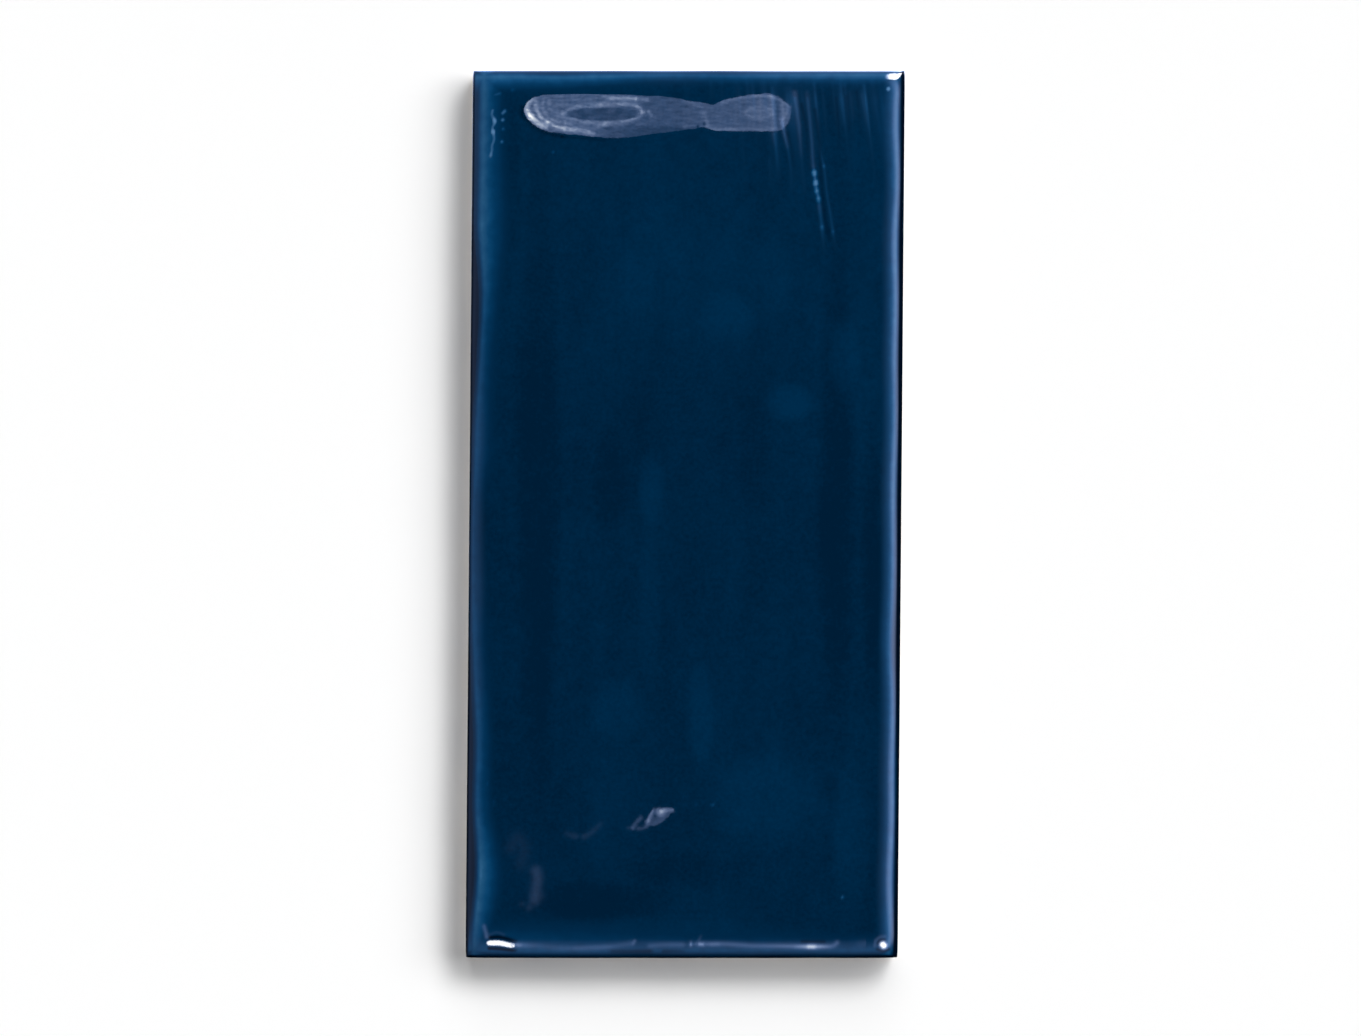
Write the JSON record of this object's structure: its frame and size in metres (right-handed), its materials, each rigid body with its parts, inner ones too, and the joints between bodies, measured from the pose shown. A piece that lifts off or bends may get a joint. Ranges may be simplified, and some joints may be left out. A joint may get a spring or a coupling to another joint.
{
  "type": "wall tile",
  "caption": "Rectangular glazed ceramic wall tile with a hand-finished gloss face, softly rolled edges and a grooved back for bedding.",
  "frame": {"origin": "under the middle of the back, on the plane that the tile is bedded on", "axes": "+X across the width, +Y along the length towards the head end, +Z out of the glazed face"},
  "size_m": [0.0742, 0.15, 0.0087],
  "materials": {
    "glaze": "deep blue gloss glaze over the face and most of the sides, bare buff body on the back"
  },
  "bodies": {
    "root": {"wall_tile": "glaze"}
  },
  "joints": []
}
